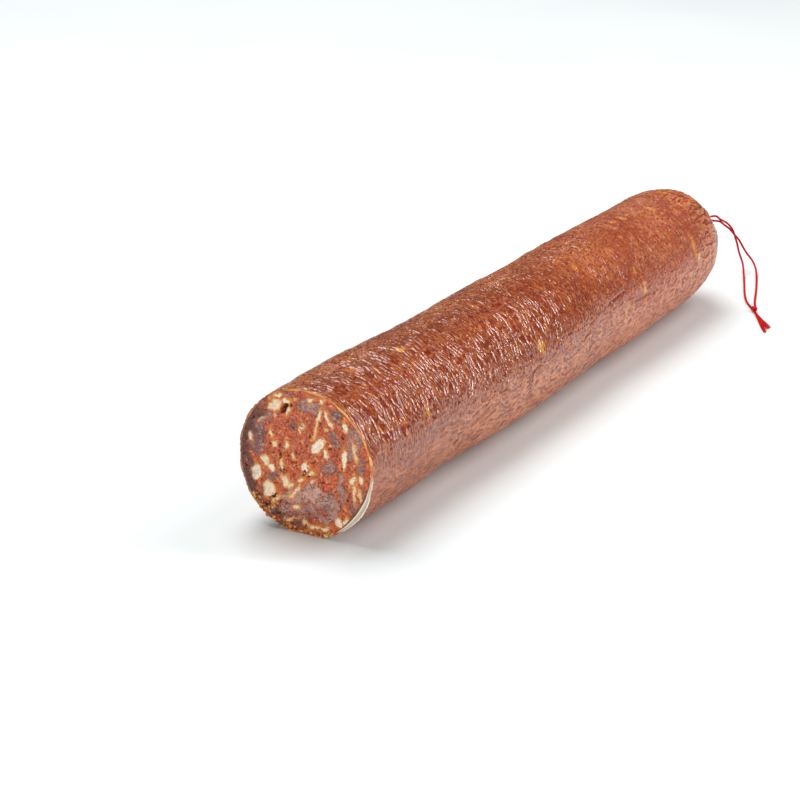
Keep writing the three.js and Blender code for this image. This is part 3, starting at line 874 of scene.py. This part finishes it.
def make_tail(material):
    """The two ends past the knot, frayed into fans of fibres that lie on the table."""
    draw = np.random.default_rng(4)
    root = np.array(TAIL_ROOT)
    fork = np.array(TAIL_FORK)
    parts = []
    for tip in TAIL_TIPS:
        tip = np.array([*tip, TAIL_FORK[2]])
        for _ in range(TAIL_FIBRES):
            start = root + draw.normal(0, (0.25, 0.25, 0.12))
            spread = draw.uniform(-1, 1)
            end = tip + (fork - tip) * (0.5 + 0.5 * spread) * 0.62
            end = end + draw.normal(0, (0.5, 0.35, 0.0))
            middle = start + (end - start) * 0.42
            pinch = (start + (tip + fork) / 2 - 2 * middle) * 0.1
            middle = middle + pinch + draw.normal(0, (0.25, 0.25, 0.1))
            late = start + (end - start) * 0.75 + draw.normal(0, (0.2, 0.25, 0.12))
            route = [(p[0], p[1], max(p[2], 0.2)) for p in (start, middle, late, end)]
            parts.append(tube_points(catmull(route, 1.6), FIBRE_RADIUS, 1, 5.0, 5, thinning))
    return add_piece("tail_fibres", join_closed("tail_fibres", parts), material, "twine", "string_tail")


def spot_strength(along, angle):
    """How far fat shows through the casing."""
    total = np.zeros(np.broadcast(along, angle).shape)
    arc = (angle + 90) / 360
    ragged = 0.45 * round_noise(along, arc, 2.0, 2.6, 31)
    ragged = ragged + 0.3 * round_noise(along, arc, 0.9, 1.3, 32)
    for at, turn, long, tall, strength in CASING_SPOTS:
        across = (along - at) / (0.62 * long)
        around = np.radians(wrap_degrees(angle - turn)) * CUT_RADIUS / (0.62 * tall)
        total = np.maximum(total, strength * (1 - smooth(0.5, 1.25, np.hypot(across, around) + ragged)))
    return total


def casing_outside(along, angle, height, edge_wave):
    """The outer face of the casing, from the cut to the neck of the tuft."""
    share = dome_share(along, 0)
    radius = (plain_radius(along) + unevenness(along, angle)) * share
    radius = radius + height * np.clip(share * 3, 0, 1)
    closed = (along - DOME_START) / DOME_LENGTH
    fold = 0.5 + 0.5 * np.sin(PLEATS * np.radians(angle) + np.sin(3 * np.radians(angle)))
    radius = radius - np.minimum(PLEAT_DEPTH * smooth(0.45, 0.97, closed) * fold, radius * 0.2)
    lip = lip_share(along, angle)
    rise = LIP_RISE * lip * (1 + edge_wave) + edge_wave * (1 - smooth(0, 3, along))
    return on_axis(X_OF_CUT + along - rise, radius + LIP_FLARE * lip**2, angle, 0)


def filling_radius(along, angle, inset):
    """The radius that far inside the body's outside, closing before it at the tied end."""
    radius = plain_radius(along) + unevenness(along, angle) - inset
    return radius * dome_share(along, GATHERED_WALL)


def casing_inside(along, angle):
    """The hidden inner face of the casing."""
    lip = lip_share(along, angle)
    inset = gathered_inset(along) + LIP_WIDTH * lip
    radius = filling_radius(along, angle, inset)
    return on_axis(X_OF_CUT + along - LIP_RISE * 0.4 * lip, radius, angle, inset)


def casing_rim(inner, outer, at_rim, flare):
    """The casing's cut edge. Where it flares it has two raised edges, and a sunken gap inside them, which
    is also painted with shade.
    """
    rim = inner + (outer - inner) * at_rim[..., None]
    edges = bell(at_rim - 0.38, 0.1) + bell(at_rim - 0.96, 0.1)
    gap = bell(at_rim - 0.18, 0.1)
    plain = 0.12 * np.sin(math.pi * at_rim) * (1 - flare)
    rim[..., 0] -= plain + flare * (0.35 * edges - 0.7 * gap)
    return rim, edges, gap


def tuft_surface(angle):
    """The ruffled tuft past the neck, rolled in at its end."""
    neck, top = NECK_RADIUS, TUFT_RADIUS
    tuft = catmull([
        (1, neck + 0.5, 0.02), (2.2, neck, 0), (6.4, neck, 0), (7.8, neck + 0.5, 0.05),
        (10.4, top * 0.9, 0.08), (11.7, top * 0.88, 0.1), (11.9, top * 0.7, 0.12), (11.2, top * 0.4, 0.15),
    ], RING_STEP)
    out, size, ruffle = (tuft[:, i, None] for i in range(3))
    wave = np.sin(TUFT_RUFFLES * np.radians(angle)) + 0.6 * np.sin(19 * np.radians(angle) + out)
    return on_axis(X_OF_CUT + BODY_LENGTH + out, size * (1 + ruffle * wave), angle, 0)


def paint_surfaces(mesh, surfaces, name, outer, inner=0.0, at_cut=0.0, tail=0.0):
    """Paint the casing inside, at the cut, outside and on the tuft, and the points that close it."""
    values = zip((inner, at_cut, outer, tail), surfaces)
    full = [np.broadcast_to(value, surface.shape[:2]).ravel() for value, surface in values]
    paint(mesh, name, np.concatenate([[inner], *full, [tail]]))


def paint_body(shade, come, along, angle):
    """Where fat shows, where the casing is dry, brown or far from the cut, and the low side, which gets a
    painted sheen.
    """
    shade("fat", spot_strength(along, angle))
    dry = np.maximum(DRY_TOP * smooth(60, 92, angle), DRY_LOW * smooth(14, -24, angle))
    dull = round_noise(come, (angle + 90) / 360, 30, 30, 42)
    dry = np.maximum(dry, DRY_END * smooth(150, 330, along + 18 * dull))
    shade("dry", dry, inner=1.0, at_cut=0.5, tail=0.6)
    shade("brown", smooth(*TOP_SIDE, angle), inner=1.0, tail=0.6)
    shade("far", smooth(*FAR_FROM_CUT, along))
    # Painted sheen on the low side, standing in for the table's reflection
    shade("bloom", 1 - smooth(-30, 22, np.abs(wrap_degrees(angle + 80)) - 80))


def paint_edge(shade, along, angle, edge_wave, at_rim, edges, gap):
    """The cut edge, bright where painted light falls on it and dark where painted shade does, and the pale
    lip with painted shade in the gap inside it.
    """
    shade("rim", 1 - smooth(0.1, 0.7, along + 0.6 * edge_wave), inner=0.6, at_cut=1.0)
    lip = smooth(0.14, 0.34, lip_share(0.0, angle) + 0.1 * edge_wave[:1])
    on_band = lip * smooth(0.24, 0.32, at_rim)
    shade("lip", lip * (1 - smooth(0.1, 0.6, along)), at_cut=on_band)
    shade("lip_edge", 1.0, at_cut=edges)
    # Painted shade in the lip's gap and on the casing's hidden inside
    shade("gap", 0.0, inner=1.0, at_cut=lip * gap)
    # Painted light and shade: the cut edge is brightest round angle 35 and darker round the rest
    rim_lit_share = np.clip(0.2 + bell(wrap_degrees(angle - 35), 60) + 1.6 * edge_wave, 0, 1)
    shade("rim_bright", rim_lit_share, at_cut=rim_lit_share[:1])


def make_casing():
    angle = side_angles()[None, :]
    places, come = meridian(NECK_RADIUS + 0.6)
    along = places[:, None]
    inner_along = inner_places(374.8)[::-1, None]
    folds = wrinkles(come[:, None], along, angle)
    edge_wave = 0.35 * round_noise(0 * along, (angle + 90) / 360, 1, 5, 41)
    outside = casing_outside(along, angle, folds["height"], edge_wave)
    inside = casing_inside(inner_along, angle)
    at_rim = np.linspace(0, 1, RIM_STEPS + 1)[1:-1, None]
    rim, edges, gap = casing_rim(inside[-1], outside[0], at_rim, lip_share(0.0, angle))
    tuft = tuft_surface(angle)
    surfaces = (inside, rim, outside, tuft)
    marks = np.concatenate([
        -10 - (inner_along[:, 0] - inner_along[-1, 0]),
        np.linspace(-2, -0.5, len(rim)),
        come,
        come[-1] + RING_STEP * (1 + np.arange(len(tuft))),
    ])
    start = (X_OF_CUT + BODY_LENGTH - GATHERED_WALL, 0, AXIS_HEIGHT)
    end = (-X_OF_CUT - 1, 0, AXIS_HEIGHT)
    mesh = closed_surface("casing_skin", start, np.concatenate(surfaces), end, marks)
    shade = functools.partial(paint_surfaces, mesh, surfaces)
    # Painted shade in the grooves and creases
    shade("hollow", folds["groove_and_shade"], tail=0.3)
    # Painted glints on the ridges
    shade("ridge", folds["ridge"])
    shade("ring_folds", folds["rings"])
    shade("length_folds", folds["lines"], tail=1.0)
    paint_body(shade, come[:, None], along, angle)
    paint_edge(shade, along, angle, edge_wave, at_rim, edges, gap)
    add_piece("casing_skin", mesh, casing_material(), "casing", "casing")


def piece_distance(y, z, piece):
    """Distance from a piece's middle in the cut face, 1 at its edge."""
    at_y, at_z, long, wide, tilt = piece[:5]
    turn = math.radians(tilt)
    up = -(y - at_y) * math.sin(turn) + (z - at_z) * math.cos(turn)
    across = (y - at_y) * math.cos(turn) + (z - at_z) * math.sin(turn)
    return np.hypot(up / (long / 2), across / (wide / 2))


def warped(y, z, size, far, seed):
    """The same places pushed about by noise of that cell size, up to about `far`."""
    return y + far * noise(y / size, z / size, seed), z + far * noise(y / size, z / size, seed + 1)


def fat_in_cut(y, z, grains):
    """Shares of fat, of its warmth and of the oily edge round it, and the fat's height."""
    y, z = warped(*warped(y, z, 2.6, 0.7, 51), 0.8, 0.42, 53)
    fat, warm, height, edge = np.zeros((4, *y.shape))
    for piece in FAT_PIECES:
        away = piece_distance(y, z, piece)
        near = min(piece[2], piece[3]) / 2
        inward = (1 - away) * near + 0.25 * grains
        here = smooth(-0.45 - 0.4 * piece[5], min(0.7 + 0.9 * piece[5], 0.8 * near), inward)
        warm = np.where(here > fat, piece[5], warm)
        fat = np.maximum(fat, here)
        edge = np.maximum(edge, bell((away - 1) * near - 0.35, 0.5))
        height = np.maximum(height, FAT_RISE * np.sqrt(np.clip(1 - away**2, 0, 1)))
    small = smooth(0.42, 0.72, noise(y / SMALL_FAT, z / SMALL_FAT, 66) + 0.25 * grains)
    return fat, warm, edge, height, small


def lean_in_cut(y, z):
    """Shares of lean, of its paleness and of the seam round it."""
    y, z = warped(*warped(y, z, 4.2, 1.7, 55), 1.2, 0.8, 57)
    lean, pale, seam = np.zeros((3, *y.shape))
    for piece in LEAN_PIECES:
        away = piece_distance(y, z, piece)
        near = min(piece[2], piece[3]) / 2
        here = 1 - smooth(1 - 0.3 / near, 1 + 0.4 / near, away)
        seam = np.maximum(seam * (1 - here), bell((away - 1) * near, 0.34))
        pale = np.where(here > 0.5, piece[5], np.where(lean > here, pale, piece[5]))
        lean = np.maximum(lean, here)
    return lean, pale, seam


def cut_features(y, z):
    """What lies at each place of the cut face: shares of fat, lean and so on, painted shade for its pits,
    cracks and air hole, and its height.
    """
    crumbs = noise(y / 1.25, z / 1.25, 64)
    grains = noise(y / 0.62, z / 0.62, 65)
    slow = noise(y / 4.5, z / 4.5, 63)
    fat, warm, edge, fat_height, small = fat_in_cut(y, z, grains)
    lean, pale, seam = lean_in_cut(y, z)
    paste = (1 - lean) * (1 - fat)
    small = small * (1 - lean) * (1 - fat)
    warm = np.where(small > fat, 0.6 + 0.4 * slow, warm)
    fat = np.maximum(fat, 0.6 * small)
    y, z = warped(y, z, 1.1, 0.5, 67)
    crack = np.zeros_like(y)
    for piece in CRACKS:
        crack = np.maximum(crack, 1 - smooth(0.6, 1.3, piece_distance(y, z, piece)))
    pits = smooth(0.45, 0.72, -crumbs - 0.3 * grains) * paste * smooth(-0.2, 0.3, slow)
    # The pits and cracks sink the face, and the same mask paints shade in them and in the air hole
    shaded_pit = np.clip(np.maximum(crack, 0.75 * pits), 0, 1)
    hole = 1 - smooth(0.65, 1.1, piece_distance(y, z, AIR_HOLE))
    height = paste * (0.2 * crumbs + 0.14 * grains) + fat_height + 0.04 * grains * lean
    height = height + 0.12 * slow + 0.1 * lean * (1 - seam) - 0.12 * seam * lean
    height = height - PIT_DEPTH * shaded_pit - AIR_HOLE_DEPTH * hole
    return {
        "fat": fat * (1 - hole) * (1 - crack),
        "warm": warm,
        "oil": edge * (1 - lean * 0.6),
        "lean": lean,
        "pale": pale,
        "seam": seam * (1 - fat),
        "shaded_pit": np.maximum(shaded_pit, hole),
    }, height


def make_meat():
    angle = (np.arange(FACE_SIDES) * 360 / FACE_SIDES)[None, :]
    along = inner_places(374.6)[:, None]
    inset = gathered_inset(along) + LIP_WIDTH * lip_share(along, angle)
    at_edge = 1 - smooth(0, 3, along)
    radius = filling_radius(along, angle, inset) - 0.3 * (1 - at_edge) + 0.06 * at_edge
    side = on_axis(X_OF_CUT + along, radius, angle, inset + 0.3)
    shares = np.linspace(0, 1, int(CUT_RADIUS / FACE_STEP))[1:-1, None]
    edge_y, edge_z = side[0, :, 1], side[0, :, 2] - AXIS_HEIGHT
    y = shares * edge_y
    z = shares * edge_z
    features, height = cut_features(y, z)
    height = height * (1 - smooth(0.97, 1.0, shares))
    face = np.stack([X_OF_CUT + FACE_DISH * (1 - shares**4) - height, y, AXIS_HEIGHT + z], -1)
    rings = np.concatenate([face, side])
    start = (float(face[0, :, 0].mean()), 0, AXIS_HEIGHT)
    end = (X_OF_CUT + BODY_LENGTH - GATHERED_WALL - 0.3, 0, AXIS_HEIGHT)
    mesh = closed_surface("meat_cut", start, rings, end)
    edge_features, _ = cut_features(edge_y, edge_z)
    for name in edge_features:
        values = np.concatenate([features[name], np.tile(edge_features[name], (len(side), 1))])
        paint(mesh, name, np.concatenate([[values[0].mean()], values.ravel(), [0]]))
    # Painted shade: a dark band round the face's edge on the +Y side only, carried on along the filling's
    # side
    edge_shade = smooth(0.78, 0.93, shares + 0.09 * noise(y / 3, z / 3, 61)) * smooth(4, 18, y - 0.35 * z)
    edge_shade = np.concatenate([0.9 * edge_shade, np.tile(0.9 * edge_shade[-1], (len(side), 1))])
    paint(mesh, "edge_shade", np.concatenate([[0], edge_shade.ravel(), [0]]))
    add_piece("meat_cut", mesh, meat_material(), "meat", "meat")


def crumb_shape():
    """An icosahedron with each side cut in four, as points and triangles."""
    golden = (1 + 5**0.5) / 2
    points = []
    for a in (-1, 1):
        for b in (-golden, golden):
            points += [(0, a, b), (a, b, 0), (b, 0, a)]
    points = [Vector(p).normalized() for p in points]
    reach = 1.2
    faces = []
    for i, j, k in itertools.combinations(range(12), 3):
        a, b, c = points[i], points[j], points[k]
        if max((a - b).length, (b - c).length, (c - a).length) < reach:
            outward = (b - a).cross(c - a).dot(a) > 0
            faces.append((i, j, k) if outward else (i, k, j))
    middles = {}

    def middle(a, b):
        key = (min(a, b), max(a, b))
        if key not in middles:
            middles[key] = len(points)
            points.append(((points[a] + points[b]) / 2).normalized())
        return middles[key]

    small = []
    for i, j, k in faces:
        ij, jk, ki = middle(i, j), middle(j, k), middle(k, i)
        small += [(i, ij, ki), (ij, j, jk), (ki, jk, k), (ij, jk, ki)]
    return np.array(points), np.array(small)


def make_crumbs():
    """Crumbs of fat and paste that stick out along the lower edge of the cut and round its cracks."""
    draw = np.random.default_rng(11)
    shape, triangles = crumb_shape()
    places = []
    for turn in draw.uniform(*FRINGE_ANGLES, FRINGE_CRUMBS):
        radius = draw.uniform(28.4, 31.1)
        y = -radius * math.cos(math.radians(turn))
        z = radius * math.sin(math.radians(turn))
        places.append((y, z, draw.uniform(0.25, 0.8), draw.uniform(0, 0.9)))
    for y, z, spread, count, size in CRUMB_CLUSTERS:
        for _ in range(count):
            dy, dz = draw.normal(0, spread, 2)
            places.append((y + dy, z + dz, size * draw.uniform(0.6, 1.2), draw.uniform(0.1, 1)))
    points = []
    faces = []
    tones = []
    for y, z, size, tone in places:
        stretch = draw.uniform(0.5, 1.4, 3)
        angle = draw.uniform(0, 6.28)
        turn = Matrix.Rotation(angle, 3, Vector(draw.normal(0, 1, 3)).normalized())
        lumps = 1 + 0.3 * draw.normal(0, 1, (len(shape), 1)).clip(-1, 1)
        blob = (shape * lumps * stretch * size) @ np.array(turn).T
        blob[:, 0] *= 0.7
        centre_z = max(AXIS_HEIGHT + z, 0.05 - blob[:, 2].min())
        blob += (X_OF_CUT + 0.2 - draw.uniform(0, 0.4), y, centre_z)
        faces.append(triangles + len(shape) * len(points))
        points.append(blob)
        tones.append(np.full(len(shape), tone))
    mesh = new_mesh("cut_crumbs", np.vstack(points), np.vstack(faces).tolist())
    paint(mesh, "tone", np.concatenate(tones))
    add_piece("cut_crumbs", mesh, crumb_material(), "meat")


def make_floor():
    far = FLOOR_HALF
    corners = [(-far, -far, 0), (far, -far, 0), (far, far, 0), (-far, far, 0)]
    mesh = new_mesh("table_top", corners, [(0, 1, 2, 3)])
    mesh.materials.append(floor_material())
    new_object("table_top", mesh)


def make_light(name, place, aim, size, watts, upward):
    """A soft box at a place, aimed at a point; its second side runs along `upward`."""
    data = bpy.data.lights.new(name, "AREA")
    data.shape = "RECTANGLE"
    data.size, data.size_y = size
    data.energy = watts
    light = new_object(name, data)
    back = (Vector(place) - Vector(aim)).normalized()
    across = Vector(upward).cross(back).normalized()
    turn = Matrix((across, back.cross(across), back)).transposed()
    light.matrix_world = Matrix.Translation(place) @ turn.to_4x4()


def make_lights():
    for light in LIGHTS:
        make_light(*light)
    world = bpy.data.worlds.new("studio")
    world.use_nodes = True
    background = world.node_tree.nodes["Background"]
    background.inputs[0].default_value = (1, 1, 1, 1)
    background.inputs[1].default_value = WORLD_STRENGTH
    scene.world = world
    scene.view_settings.view_transform = "Standard"
    scene.view_settings.look = "None"


make_camera()
make_twine()
make_casing()
make_meat()
make_crumbs()
make_floor()
make_lights()
